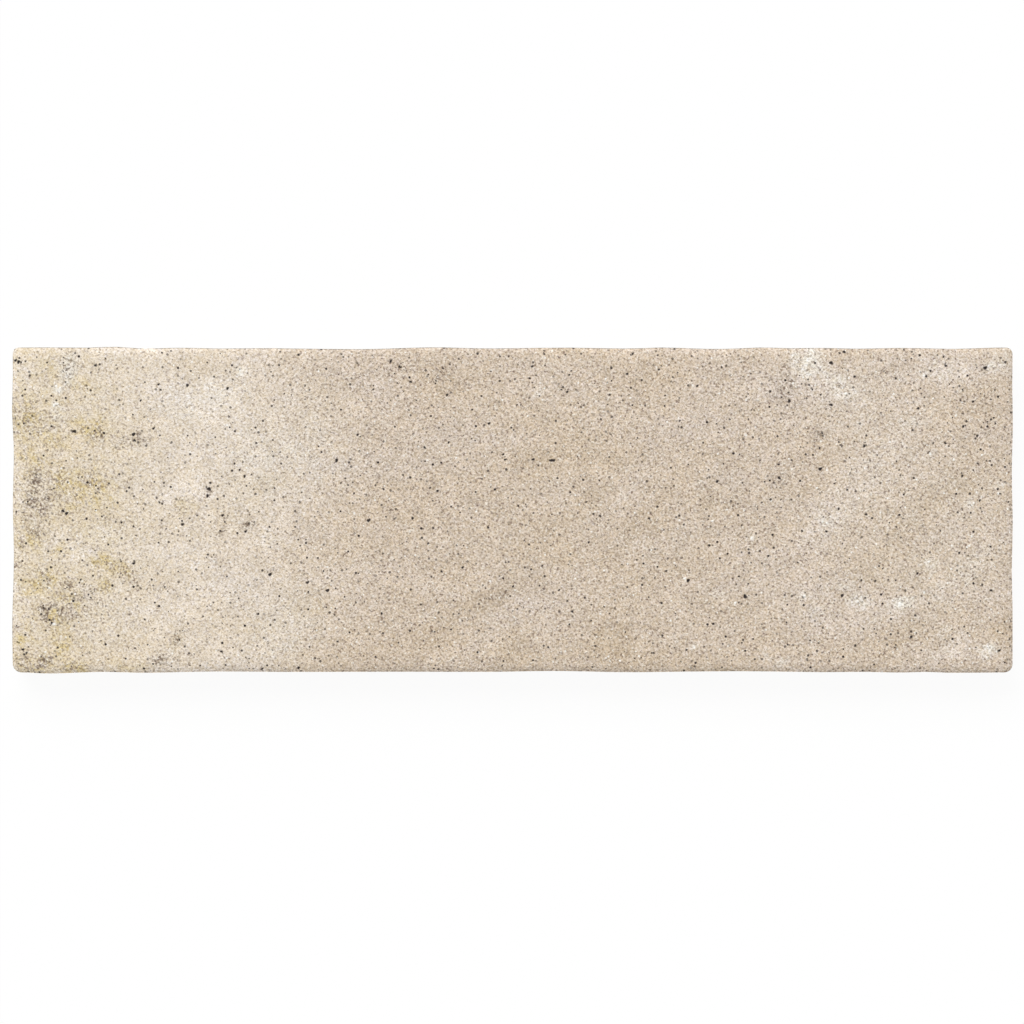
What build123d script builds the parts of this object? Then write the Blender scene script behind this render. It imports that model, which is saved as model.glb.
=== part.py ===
from build123d import *

import math
import os

# Wall tile with a hand-pressed look, in millimetres: one dust-pressed and fired clay body.
# The tile lies on its keyed back with its face up. X runs along its length, Y across its width and Z up
# through its thickness. The origin is the middle of the back, on the plane of the key ribs.

# Nominal size of the tile
LENGTH = 200.0
WIDTH = 65.0
THICKNESS = 8.5

# Plan radius of each corner, seen from the face with Y up
RADIUS_TOP_LEFT = 1.2
RADIUS_TOP_RIGHT = 1.35
RADIUS_BOTTOM_RIGHT = 1.7
RADIUS_BOTTOM_LEFT = 1.8

# Cushion edge round the face: how far it reaches in, and how far it falls
CUSHION_REACH = 2.0
CUSHION_DROP = 0.7
CUSHION_STEPS = 5

# Relief of the side towards the back, left by the taper of the press die
RELIEF_HEIGHT = 3.2
RELIEF_DEPTH = 0.9

# Adhesive key on the back: shallow drafted pockets with cut corners between ribs, inside a plain border
BACK_BORDER = 5.5
RIB_WIDTH = 2.5
POCKET_DEPTH = 0.8
POCKET_CORNER = 1.2
POCKET_DRAFT = 25.0
POCKETS_LONG = 16
POCKETS_WIDE = 5

# The furthest that an edge strays from its nominal line
EDGE_WAVE = 0.3

# Crests and hollows of each edge, from left to right or from bottom to top. Each pair is a share of the
# straight run between two corners, and a share of EDGE_WAVE, outwards.
TOP_WAVES = (
    (0.04, 0.0),
    (0.07, -0.1),
    (0.10, 0.4),
    (0.12, -0.5),
    (0.16, -0.2),
    (0.20, -0.7),
    (0.24, -0.5),
    (0.36, -1.0),
    (0.43, 0.1),
    (0.46, -0.5),
    (0.56, -0.1),
    (0.63, -0.5),
    (0.65, 0.0),
    (0.68, -0.6),
    (0.73, -0.6),
    (0.75, 0.0),
    (0.78, -0.5),
    (0.81, -0.3),
    (0.85, -0.8),
    (0.89, -0.3),
    (0.95, -0.9),
)
BOTTOM_WAVES = (
    (0.02, 0.6),
    (0.08, -0.4),
    (0.12, 0.2),
    (0.17, -0.4),
    (0.26, -0.4),
    (0.42, -0.5),
    (0.49, -0.5),
    (0.54, -1.0),
    (0.61, -0.2),
    (0.69, -0.7),
    (0.78, -0.5),
    (0.82, -0.2),
    (0.86, -0.4),
    (0.90, 0.0),
    (0.92, -0.4),
    (0.94, 0.1),
    (0.97, 0.1),
)
LEFT_WAVES = (
    (0.10, 0.3),
    (0.18, 0.1),
    (0.35, -0.8),
    (0.52, -0.1),
    (0.69, -0.7),
    (0.82, 0.4),
    (0.93, -0.1),
)
RIGHT_WAVES = (
    (0.12, 0.0),
    (0.18, 0.0),
    (0.29, -0.5),
    (0.45, 0.1),
    (0.63, -0.5),
    (0.76, 0.2),
    (0.90, -0.2),
)


def wavy_edge(start, end, outward, waves):
    """A smooth edge from start to end that leaves and meets both ends along its own line."""
    run = end - start
    crests = [start + run * along + outward * (EDGE_WAVE * rise) for along, rise in waves]
    direction = run.normalized()
    return Spline(start, *crests, end, tangents=(direction, direction))


def backwards(waves):
    """The same crests and hollows, counted from the other end of the edge."""
    return tuple((1.0 - along, rise) for along, rise in reversed(waves))


def outline(inset, height):
    """The tile's wavy plan outline as a face at a height, drawn in by an inset on every side.

    The corners keep their own radius at every inset, so that the cushion edge stays soft at the corners.
    """
    x = LENGTH / 2 - inset
    y = WIDTH / 2 - inset
    up, right = Vector(0, 1, 0), Vector(1, 0, 0)
    top_left = Vector(-x, y, 0)
    top_right = Vector(x, y, 0)
    bottom_right = Vector(x, -y, 0)
    bottom_left = Vector(-x, -y, 0)

    top = wavy_edge(
        top_left + right * RADIUS_TOP_LEFT, top_right - right * RADIUS_TOP_RIGHT, up, TOP_WAVES
    )
    side_right = wavy_edge(
        top_right - up * RADIUS_TOP_RIGHT,
        bottom_right + up * RADIUS_BOTTOM_RIGHT,
        right,
        backwards(RIGHT_WAVES),
    )
    bottom = wavy_edge(
        bottom_right - right * RADIUS_BOTTOM_RIGHT,
        bottom_left + right * RADIUS_BOTTOM_LEFT,
        -up,
        backwards(BOTTOM_WAVES),
    )
    side_left = wavy_edge(
        bottom_left + up * RADIUS_BOTTOM_LEFT, top_left - up * RADIUS_TOP_LEFT, -right, LEFT_WAVES
    )
    corners = [
        RadiusArc(top @ 1, side_right @ 0, RADIUS_TOP_RIGHT),
        RadiusArc(side_right @ 1, bottom @ 0, RADIUS_BOTTOM_RIGHT),
        RadiusArc(bottom @ 1, side_left @ 0, RADIUS_BOTTOM_LEFT),
        RadiusArc(side_left @ 1, top @ 0, RADIUS_TOP_LEFT),
    ]
    edges = [top, corners[0], side_right, corners[1], bottom, corners[2], side_left, corners[3]]
    return Pos(0, 0, height) * make_face(edges)


def cushion():
    """The face and its soft edge: a quarter ellipse carried round the wavy outline."""
    shoulder = THICKNESS - CUSHION_DROP
    sections = []
    for step in range(CUSHION_STEPS + 1):
        turn = math.radians(90.0 * step / CUSHION_STEPS)
        inset = CUSHION_REACH * (1.0 - math.cos(turn))
        sections.append(outline(inset, shoulder + CUSHION_DROP * math.sin(turn)))
    return loft(sections)


def side_wall():
    """The upright part of the side, between the back relief and the cushion edge."""
    return extrude(outline(0.0, RELIEF_HEIGHT), THICKNESS - CUSHION_DROP - RELIEF_HEIGHT)


def back_relief():
    """The lower part of the side, which leans in towards the back."""
    return loft([outline(RELIEF_DEPTH, 0.0), outline(0.0, RELIEF_HEIGHT)], ruled=True)


def key_pockets():
    """The pockets of the adhesive key, as solids to take out of the back."""
    field_long = LENGTH - 2 * (RELIEF_DEPTH + BACK_BORDER)
    field_wide = WIDTH - 2 * (RELIEF_DEPTH + BACK_BORDER)
    pitch_long = (field_long + RIB_WIDTH) / POCKETS_LONG
    pitch_wide = (field_wide + RIB_WIDTH) / POCKETS_WIDE
    mouth = Rectangle(pitch_long - RIB_WIDTH, pitch_wide - RIB_WIDTH)
    mouth = chamfer(mouth.vertices(), POCKET_CORNER)
    pocket = extrude(mouth, POCKET_DEPTH, taper=POCKET_DRAFT)
    return [place * pocket for place in GridLocations(pitch_long, pitch_wide, POCKETS_LONG, POCKETS_WIDE)]


def tile():
    """The whole fired body as one solid."""
    body = back_relief() + side_wall() + cushion()
    return body - key_pockets()


os.makedirs("parts", exist_ok=True)
export_step(tile(), "parts/tile.step")
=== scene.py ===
"""Oblong wall tile with a sandy, pitted and weathered face, pressed sides and a keyed back.

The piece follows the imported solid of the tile: its wavy outline, cushion edge, leaning sides and key
pockets. Sizes in this file are in millimetres and become metres where the meshes are made. X runs along
the tile, Y across it and Z out of its face.
"""

import bisect
import logging
import math
import random
from dataclasses import dataclass, field, replace
from enum import Enum
from typing import Any, Iterable

import bmesh
import bpy
import numpy as np
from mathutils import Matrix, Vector, kdtree, noise
from mathutils.bvhtree import BVHTree


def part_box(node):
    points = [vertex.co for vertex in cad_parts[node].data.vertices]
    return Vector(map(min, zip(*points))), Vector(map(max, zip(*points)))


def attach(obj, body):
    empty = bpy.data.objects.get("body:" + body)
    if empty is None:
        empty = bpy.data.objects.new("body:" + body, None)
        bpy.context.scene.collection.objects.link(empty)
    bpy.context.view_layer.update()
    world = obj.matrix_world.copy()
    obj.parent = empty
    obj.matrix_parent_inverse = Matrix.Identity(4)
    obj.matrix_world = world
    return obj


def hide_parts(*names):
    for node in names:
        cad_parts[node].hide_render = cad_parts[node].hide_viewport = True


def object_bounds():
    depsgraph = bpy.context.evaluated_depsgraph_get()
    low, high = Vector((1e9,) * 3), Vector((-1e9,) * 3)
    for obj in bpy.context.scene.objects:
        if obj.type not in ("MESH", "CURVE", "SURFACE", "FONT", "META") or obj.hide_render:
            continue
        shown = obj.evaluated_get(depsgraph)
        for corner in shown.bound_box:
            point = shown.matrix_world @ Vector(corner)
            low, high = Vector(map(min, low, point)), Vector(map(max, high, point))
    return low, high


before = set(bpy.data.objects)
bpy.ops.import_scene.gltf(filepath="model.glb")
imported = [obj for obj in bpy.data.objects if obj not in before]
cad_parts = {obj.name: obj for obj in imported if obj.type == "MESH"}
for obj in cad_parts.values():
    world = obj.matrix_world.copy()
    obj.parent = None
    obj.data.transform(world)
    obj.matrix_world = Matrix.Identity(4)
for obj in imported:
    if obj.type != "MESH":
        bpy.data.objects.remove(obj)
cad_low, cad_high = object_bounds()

MM = 0.001
UP = Vector((0.0, 0.0, 1.0))
# Sockets of the Mix node when it mixes colours
MIX_A, MIX_B, MIX_OUT = 6, 7, 2
# Its settings when it lays one colour over another, and when it multiplies one by another
COVER = {"data_type": "RGBA"}
TINT = {"data_type": "RGBA", "blend_type": "MULTIPLY"}

Tree = bpy.types.NodeTree
Socket = bpy.types.NodeSocket
Shell = bmesh.types.BMesh
Edge = bmesh.types.BMEdge
# The grid's cells by column and row
Cells = dict[tuple[int, int], bmesh.types.BMFace]
# A pit's or grain's place along and across the tile, and its radius
Spot = tuple[float, float, float]
# Where a band of the flat sheet begins, and how wide it is
Band = tuple[float, float]

log = logging.getLogger("tile")


def linear(code: str) -> tuple[float, float, float, float]:
    """Turns an sRGB hex colour into the linear colour that a shader reads.

    Args:
        code: Six hex digits after a hash.

    Returns:
        Red, green, blue and an alpha of one.
    """
    shares = [int(code[k : k + 2], 16) / 255 for k in (1, 3, 5)]
    light = [s / 12.92 if s <= 0.04045 else ((s + 0.055) / 1.055) ** 2.4 for s in shares]
    return (light[0], light[1], light[2], 1.0)


def per_metre(size: float) -> float:
    """The texture scale at which one repeat measures a size in millimetres."""
    return 1.0 / (size * MM)


def smooth(share: float) -> float:
    """Eases a share from 0 to 1, flat at both ends."""
    held = min(max(share, 0.0), 1.0)
    return held * held * (3.0 - 2.0 * held)


def add_node(
    tree: Tree, kind: str, inputs: dict[Any, Any] | tuple[Any, ...] = (), **settings: Any
) -> bpy.types.NodeOutputs:
    """Adds one shader node with its settings and links.

    Args:
        tree: The node tree that it goes in.
        kind: The node's type, without the ShaderNode prefix.
        inputs: A value for each input, or the output that is linked to it, in order, or by name or number.
        settings: The node's own properties.

    Returns:
        The node's outputs.
    """
    made = tree.nodes.new("ShaderNode" + kind)
    for name, value in settings.items():
        setattr(made, name, value)
    for key, value in (inputs if isinstance(inputs, dict) else dict(enumerate(inputs))).items():
        if isinstance(value, Socket):
            tree.links.new(value, made.inputs[key])
        else:
            made.inputs[key].default_value = value
    return made.outputs


class Weather(Enum):
    """What time and the kiln left on the face, with the face's tone and its painted light and shade, named as
    the mesh attribute that says how much is where.
    """

    CREAM = "cream"
    # Paler and darker patches: partly the clay's own tone, partly painted light and shade, such as slanting
    # bands for the shading of a gently swelling face, a paler band along the upper edge and paler rims
    TONE_AND_PAINTED_LIGHT = "shade"
    OCHRE = "ochre"
    SOOT = "soot"
    BLOOM = "bloom"


@dataclass(frozen=True)
class Dab:
    """One soft oval patch of a weathering, or of tone with painted light and shade, on the face, in
    millimetres.
    """

    x: float
    y: float
    long: float
    wide: float
    turn: float
    strength: float
    core: float = 0.05

    def spread(self, x: np.ndarray, y: np.ndarray) -> np.ndarray:
        """Gives how much of the patch lies at each place.

        Args:
            x: Places along the tile.
            y: Places across the tile.

        Returns:
            The patch's full strength in its core, falling to nothing at its rim.
        """
        turn = math.radians(self.turn)
        along = (x - self.x) * math.cos(turn) + (y - self.y) * math.sin(turn)
        across = (y - self.y) * math.cos(turn) - (x - self.x) * math.sin(turn)
        reach = np.hypot(along / self.long, across / self.wide)
        share = np.clip((1.0 - reach) / (1.0 - self.core), 0.0, 1.0)
        return self.strength * share * share * (3.0 - 2.0 * share)


# The patches of each weathering, and of the tone with its painted light, read off the face. Each row is one
# Dab: its place, half length, half width, turn in degrees from the tile's length, strength, and its core
# where that isn't the usual one.
# The tone-and-light rows are partly the clay's own tone and partly painted light and shade: the slanting pale
# and dark bands stand partly for the shading of a gently swelling face, and there is a paler band along the
# upper edge and a paler left rim. One below nothing is a pale band.
PATCHES: dict[Weather, tuple[tuple[float, ...], ...]] = {
    Weather.CREAM: (
        (-102, 0, 80, 130, 0, 1.0, 0.45), (-62, 20, 16, 9, 0, 0.25), (-46, -20, 18, 10, 30, 0.2),
    ),
    Weather.TONE_AND_PAINTED_LIGHT: (
        (83, 2, 20, 5, 45, 0.8), (71, -13, 8, 5, 40, 0.4), (79, -24, 9, 4, 25, 0.8),
        (98, -24, 5, 4.5, 40, 0.8), (94, 18, 10, 6, 40, 0.3), (30, 26, 12, 5, 20, 0.5),
        (25, -4, 12, 4, 45, 0.5), (35, -8, 10, 7, 40, 0.3), (5, -8, 17, 4, 40, 0.3),
        (-8, -19, 12, 4, 25, 0.8), (-16, -26, 10, 4, 30, 0.4), (20, -25, 6, 6, 60, 1.0),
        (43, 1, 10, 6, 0, 0.35), (-15, 26, 14, 6, 0, 0.4), (0, 6, 22, 9, 30, 0.25), (-63, 27, 6, 4, 60, 0.4),
        (66, 3, 26, 6, 48, -0.7), (90, -13, 14, 4, 40, -0.5), (88, -28, 9, 3, 30, -0.5),
        (20, 1, 15, 3.5, 42, -0.5), (-6, -26, 12, 3, 30, -0.5), (20, 24, 130, 14, 0, -0.3),
        (-26, -2.5, 7, 6, 0, -0.5), (-41, -19, 9, 5, 20, 0.45), (-46, 7, 10, 6, 30, 0.4),
        (2, -23, 7, 5, 20, 0.4), (25, 8, 6, 5, 0, -0.45), (50, 14, 11, 7, 0, -0.5), (89, 28, 10, 5, 0, -0.4),
        (78, 20, 7, 5, 0, -0.45), (60, -8, 9, 5, 0, -0.4), (64, -23, 10, 6, 0, -0.4),
        (82, -11, 6, 4, 0, -0.4), (86, -19.5, 5, 4, 0, 0.6), (90, 5, 6, 4, 0, 0.5), (91, -14, 4, 3, 0, 0.5),
        (96, -19.5, 5, 4, 0, -0.4), (43, -28, 6, 5, 0, -0.35), (-72, 26, 8, 6, 0, -0.5),
        (-58, 18, 11, 5, 0, -0.5), (-51, 30, 7, 5, 0, -0.6), (-62, -2, 3.5, 3.5, 0, -0.6),
        (-97, 18, 8, 18, 0, -0.4), (-98.6, 26.5, 4.5, 8, 0, -1.2), (-99.5, 8, 4, 7, 0, -0.5),
        (-99.5, -6, 3.5, 3, 0, -0.8), (-99.5, -17.5, 4, 4, 0, -1.1), (-52, 4, 6, 5, 0, 0.4),
        (-51, -25, 8, 6, 0, 0.3), (78, 28, 14, 6, 0, -0.3), (62, 26, 8, 6, -40, -0.4),
        (-60, 21, 12, 5, 20, -0.4), (20, -27, 7, 6, 0, 0.95), (0, -28.5, 6, 4, 0, 0.8),
        (-5, -18, 8, 3.5, 15, 0.75), (30, -3.5, 5, 4.5, 30, 0.9), (17, 3, 8, 4.5, 20, 0.9),
        (10, -10, 4, 3, 30, 0.75), (-40, -19, 6, 7, 0, 0.75), (30, 21, 6, 5, 0, 0.45),
        (5, 31, 34, 3.5, 0, 0.4), (91, 4, 5, 4, 40, 0.4), (78, -24.5, 7, 4, 25, 0.5),
        (80, 19, 6, 7, 20, -0.9), (88, 29, 13, 5, 0, -0.4), (60, -6, 6, 3.5, 40, -0.85),
        (61, -21, 6, 5, 30, -0.45), (70, -18, 5, 3.5, 30, -0.8), (90, -26, 5, 4, 30, -0.8),
        (-66, 4, 10, 4.5, 10, -0.85), (-88, -9, 8, 2.8, 0, -0.9), (-25, 24, 9, 4, -20, -0.4),
        (40, 7.5, 6, 4, 30, -0.4), (-98.5, -25.5, 3, 2.5, 0, -0.5), (-99.8, 0, 2.4, 38, 0, -0.3, 0.5),
        (-81, 30.5, 5, 3, 0, -0.7), (-90, -6, 7, 2.4, 0, -0.45), (-96, -18, 4, 2.6, 0, -0.6),
        (-62, 30.5, 4, 3, 0, 0.5),
    ),
    Weather.OCHRE: (
        (-98, 0, 34, 70, 0, 0.4, 0.3), (-92.6, 28.5, 3.3, 3.9, 0, 0.3), (-86.5, 25.5, 3.3, 2.8, 0, 0.42),
        (-97.5, 18.5, 5.5, 6.1, 0, 0.7), (-93, 15, 6.6, 3.3, -10, 0.6), (-84.5, 16.5, 6.6, 3.9, 0, 0.66),
        (-96, 10, 4.4, 4.4, 0, 0.42), (-90, 5.6, 3.9, 2.9, -30, 1.08), (-84, 5, 6.6, 4.4, -10, 0.72),
        (-85, 1.4, 8.8, 2.6, -5, 0.5), (-96, -6.5, 4.4, 2.8, 0, 0.72), (-90, -8, 3.3, 2.2, 0, 0.6),
        (-83, -10, 2.6, 2.2, 0, 0.6), (-80.3, -11.2, 3.3, 2, -25, 0.96), (-77, -12.5, 3.3, 1.7, -15, 0.84),
        (-81, -15.4, 3, 2.6, 0, 0.75), (-95.5, -15.6, 4.2, 2.6, -10, 0.6), (-93, -13, 3.3, 2.8, 0, 0.6),
        (-90, -17.3, 3.3, 2.2, 0, 0.72), (-91.8, -21, 2.6, 2.4, 0, 1.0), (-86.8, -19.4, 1.7, 1.7, 0, 0.72),
        (-90, -26.5, 3.3, 6.6, 0, 0.6), (-98.2, -25.5, 3, 3, -30, 0.65), (-96, -31, 6.6, 2.8, 0, 0.72),
        (-88, -31.5, 5.5, 2, 0, 0.84), (-77, -31, 6.6, 2.2, 0, 0.48), (-67, -26, 3.3, 2, 60, 0.48),
        (-65.4, 1.2, 3, 2.4, 0, 0.55, 0.3),
    ),
    Weather.SOOT: (
        (-88.8, 28.2, 5.2, 3, 85, 0.7), (-88.8, 30.5, 2.4, 2.6, 0, 0.2), (-96, 20.5, 3.4, 6, 0, 0.25),
        (-98.5, 17.8, 3.4, 4.5, 0, 0.6), (-93.5, 15.5, 4, 2.5, -10, 0.3), (-95.3, 6.5, 2.6, 4.2, 0, 0.6),
        (-95, 1.6, 4, 4, 0, 0.8), (-95.2, -3, 3.6, 4.4, 0, 0.8), (-95.5, 2, 7, 9, 0, 0.25),
        (-91.5, 3, 4, 4.5, 0, 0.3), (-84, 6.2, 5, 2.2, -5, 0.55), (-76, 5.5, 6, 1.8, -5, 0.3),
        (-89.6, -0.5, 1.9, 1.2, -25, 0.5), (-82, -1.8, 10, 1.8, -6, 0.45), (-82.8, 15, 2.4, 2, -30, 1.0),
        (-74, 14.6, 3, 1.5, -10, 0.6), (-77.5, 14, 7, 3, 0, 0.3), (-98.5, -6.2, 1.6, 1.8, 0, 0.6),
        (-91, -5, 3, 1.6, 0, 0.4), (-98.8, -11, 2, 2, 0, 0.9), (-94, -12.8, 3, 1.4, -40, 1.2),
        (-91.5, -13, 2.5, 2, 0, 0.3), (-89, -15, 1.6, 1.2, 20, 0.8), (-86, -16.2, 3.6, 3, 0, 0.4),
        (-80.8, -15.3, 2.8, 2.4, 0, 0.4), (-78.5, -12, 5, 2, -30, 0.35), (-75.8, -15, 1.8, 1.5, 0, 0.7),
        (-70, -15, 4, 2, 0, 0.3), (-93.8, -20.7, 1.4, 2.4, 0, 1.15), (-92.4, -19.3, 2.4, 0.9, 20, 1.6),
        (-92.4, -22.3, 2.4, 0.9, -10, 1.6), (-90.5, -20.9, 0.8, 2, 0, 1.5), (-89, -21, 2.8, 2.6, 0, 1.5),
        (-85, -18.5, 9, 9, 0, 0.3), (-90.5, -17.2, 3, 1.8, 0, 0.45), (-99.3, -23.3, 1.5, 1.7, 0, 0.5),
        (-97.3, -28.8, 2.6, 2, -20, 0.6), (-93.4, -30.4, 3, 2, 20, 0.8), (-88.5, -31.5, 4.4, 1.8, 0, 0.45),
        (-96.5, -31.5, 4, 1.8, 0, 0.8), (-70.5, -30, 5, 2.6, 20, 1.2), (-67, -26, 3.8, 1.8, 62, 1.2),
        (-58.5, -3.9, 2, 1.5, 0, 1.3), (-65.4, 1.2, 3, 2.4, 0, 0.3), (-53.2, -3.3, 2.6, 1.6, 60, 1.3),
        (-58, -1.1, 1.6, 1.3, 0, 1.0), (-60.8, 3.3, 2.4, 1.7, 90, 0.8), (-22.5, 28, 4.5, 3.2, 30, 0.55),
        (-14.5, 27, 5.5, 3.2, 0, 0.5), (-2, -16.5, 5.5, 2.5, 20, 0.5), (54.5, 24, 4, 4, 0, 0.7),
        (61.3, 14.5, 3.4, 2, 60, 0.9), (53.3, 6, 4, 2.5, 30, 0.7), (44, 1, 6, 2.5, -20, 0.55),
        (-92, 17.5, 5, 3, 0, 0.4), (-92.5, 6, 4, 2.6, 0, 0.55), (-86, -26, 3.4, 3, 0, 0.4),
        (-66, -29.5, 4, 2.6, 0, 0.5), (-76, -14, 4, 2.2, 0, 0.4), (-98, -30.5, 2.6, 2, 0, 0.5),
        (40.3, 2.4, 1.2, 0.9, 30, 0.7), (80.3, 27.9, 1.6, 1, 0, 0.5), (49.3, 14.7, 2, 1.4, 0, 0.35),
        (73, -30, 3, 1, 50, 0.4),
    ),
    Weather.BLOOM: (
        (-88.8, 27.8, 5.2, 3, 85, 0.9), (-90.8, 24, 1.9, 1.3, 30, 1.3), (-91.6, 20.8, 1.3, 1, 0, 1.1),
        (-91, 19, 3, 2.4, 0, 0.45), (-93.8, -14.9, 1.9, 0.7, -25, 0.7), (-82, -5, 8, 2.5, 0, 0.25),
        (-54.6, 27.8, 1.9, 1.6, 0, 1.3), (-62, 22, 14, 6, 20, 0.3), (-45, 12, 22, 16, 30, 0.28),
        (-46, -25, 16, 9, 30, 0.25), (-49, -6, 4, 3, 0, 0.25), (59, 29.5, 5.5, 4.6, 0, 1.15),
        (65, 25.5, 6, 3, -40, 0.7), (68, 22, 16, 12, 0, 0.2), (97, 29, 5, 4, 20, 0.5),
        (87, 28, 9, 5, 0, 0.25), (62, -3, 9, 5, 40, 0.1), (77.5, -18.8, 3.5, 2, 20, 1.15),
        (94.5, -28.5, 4, 2, -20, 0.5), (72, 8, 26, 8, 47, 0.18), (90, -13, 14, 4, 40, 0.2),
        (88, -27, 8, 2.5, 30, 0.2), (85, -5, 32, 34, 0, 0.14), (69.3, -18.1, 3.4, 2, 10, 0.7),
        (58.3, -17.3, 2, 1.6, 0, 0.6), (60.1, -20.3, 3, 2, 20, 0.35), (66.8, -15.1, 2.4, 1.6, 30, 0.4),
        (62.8, -2.6, 2, 1.5, 0, 0.6), (47.8, -5.6, 1.5, 1.3, 0, 0.8), (83.1, -10.8, 3, 2, 30, 0.6),
        (96, -27.6, 3, 2, 20, 0.6), (36.5, -27.6, 1.4, 1.2, 0, 0.6), (54.1, -30.1, 2, 1.4, 0, 0.6),
        (50.3, -29.3, 1.6, 1.2, 0, 0.5), (86.6, -24.3, 2.4, 2, 0, 0.4), (41.1, -17.1, 2.4, 1.6, 0, 0.35),
        (81.8, 27.4, 2.4, 2, 0, 0.4), (97.8, 4.4, 1.8, 2, 0, 0.5), (91.8, 1.2, 1.8, 1.6, 0, 0.5),
        (79.5, 17.4, 2.4, 2, 40, 0.35), (83.3, 10.9, 2.2, 1.6, 40, 0.35), (41.1, 30.9, 1.2, 1, 0, 0.6),
        (5, 23.9, 1.8, 1.5, 0, 0.4),
    ),
}

# The larger pits, read off the face
LARGE_PITS: tuple[Spot, ...] = (
    (-99.4, 29.9, 0.30), (-98.8, 29.6, 0.38), (-98.3, 29.5, 0.24), (-89.9, -0.2, 0.34), (-89.2, -0.7, 0.36),
    (-97.9, -27.9, 0.30), (-97.2, -28.6, 0.26), (-83.4, 28.9, 0.32), (-87.6, 15.7, 0.40),
    (-75.8, 15.1, 0.40), (-75.6, 13.9, 0.30), (-71.8, 16.3, 0.30), (-60.7, 4.2, 0.42), (-61.0, 2.8, 0.35),
    (-70.8, 25.1, 0.28), (-65.0, 24.9, 0.32), (-57.0, 24.3, 0.32), (-53.6, 6.7, 0.30), (-58.0, -1.1, 0.30),
    (-66.0, -2.9, 0.32), (-53.4, -4.3, 0.32), (-75.8, -10.7, 0.30), (-58.2, -28.3, 0.30), (-35.2, 9.9, 0.38),
    (-24.4, 29.7, 0.30), (-22.6, 28.6, 0.30), (-20.4, 25.6, 0.30), (-13.1, 23.0, 0.28), (-17.6, 12.5, 0.28),
    (-4.7, 17.3, 0.30), (-1.9, 11.1, 0.26), (-28.8, -2.1, 0.40), (-41.0, -14.5, 0.34), (-37.0, -16.1, 0.38),
    (-26.2, -20.7, 0.28), (-20.0, -1.7, 0.28), (-14.2, -12.3, 0.28), (-10.0, -11.5, 0.28),
    (-4.9, -3.5, 0.28), (7.7, 9.9, 0.36), (8.2, 9.9, 0.34), (4.1, 10.1, 0.32), (19.7, 28.4, 0.30),
    (22.9, 27.2, 0.28), (40.9, 5.7, 0.32), (36.9, 24.8, 0.28), (10.9, 23.6, 0.28), (35.1, -14.1, 0.38),
    (46.5, -17.3, 0.44), (27.3, -1.7, 0.28), (11.9, -20.3, 0.28), (39.3, -7.1, 0.28), (55.3, 21.8, 0.36),
    (63.7, 29.4, 0.40), (63.7, 21.0, 0.34), (66.3, 31.6, 0.34), (70.3, 12.8, 0.32), (61.5, 8.2, 0.40),
    (53.3, 6.4, 0.35), (94.5, 28.4, 0.42), (86.5, 13.4, 0.30), (92.9, 14.8, 0.30), (89.9, 6.8, 0.30),
    (70.7, -0.9, 0.28), (65.9, -17.1, 0.36), (80.9, -12.7, 0.28), (79.7, -25.4, 0.32), (68.5, -27.1, 0.28),
    (95.7, -16.1, 0.28), (97.3, -28.1, 0.30), (-48.5, -12.9, 0.38), (-75.8, -3.3, 0.25), (-41.3, -6.6, 0.26),
    (-42.8, -31.6, 0.34), (-50.1, -31.8, 0.28), (-50.9, -20.8, 0.28), (-48.6, -3.4, 0.24),
    (-34.2, 31.2, 0.24), (-7.0, 31.2, 0.24), (-13.9, 28.3, 0.24), (-31.0, 15.0, 0.26), (-12.8, 13.5, 0.24),
    (6.3, 31.2, 0.24), (3.9, 28.7, 0.28), (24.0, 31.2, 0.25), (-16.9, -6.7, 0.24), (5.9, -11.2, 0.24),
    (17.5, -1.2, 0.28), (30.7, -12.2, 0.23), (16.5, -27.2, 0.24), (-35.0, -26.3, 0.24), (-12.3, -23.9, 0.24),
    (51.5, 23.7, 0.28), (59.3, 25.0, 0.24), (61.9, 15.4, 0.26), (53.2, 9.1, 0.24), (57.5, 5.8, 0.26),
    (76.6, 26.3, 0.26), (86.6, 28.8, 0.26), (90.1, 16.7, 0.30), (93.4, 1.9, 0.26), (97.0, 4.2, 0.26),
    (96.5, 17.3, 0.24), (78.2, 3.1, 0.24), (65.2, 0.2, 0.26), (62.7, -4.3, 0.26), (47.3, -8.6, 0.26),
    (51.1, -9.2, 0.26), (72.5, -14.2, 0.26), (69.7, -14.1, 0.24), (80.5, -21.1, 0.26), (79.7, -24.3, 0.26),
    (59.1, -29.1, 0.24),
)

# The larger white grains, read off the face
LARGE_GRAINS: tuple[Spot, ...] = (
    (77.4, -18.9, 0.55), (66.6, 23.3, 0.36), (47.8, -5.6, 0.38), (-91.7, -22.8, 0.36), (58.3, -17.2, 0.34),
    (-91.7, 20.9, 0.34), (83.5, 11.2, 0.34), (44.5, -18.6, 0.33), (34.4, -13.7, 0.34), (88.2, 10.1, 0.28),
    (69.0, -18.3, 0.30), (82.3, -16.5, 0.27), (62.8, -2.6, 0.30), (82.2, 26.9, 0.28), (39.9, -2.2, 0.27),
    (36.3, -27.5, 0.28), (-91.3, 24.8, 0.32), (-90.5, 24.4, 0.28), (87.7, -11.8, 0.26), (-93.4, -28.4, 0.26),
    (-88.0, 10.2, 0.27), (92.2, 1.4, 0.25), (93.8, 11.0, 0.26), (18.6, 26.2, 0.24), (97.1, 3.3, 0.27),
    (60.8, 4.4, 0.26), (83.2, -10.3, 0.28), (18.3, -12.1, 0.25), (-4.5, -14.2, 0.26), (-54.5, 27.9, 0.27),
    (41.3, 23.3, 0.25), (76.2, 23.2, 0.25), (-92.6, -15.6, 0.25), (73.5, -0.5, 0.25), (91.8, -5.3, 0.26),
)


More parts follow.
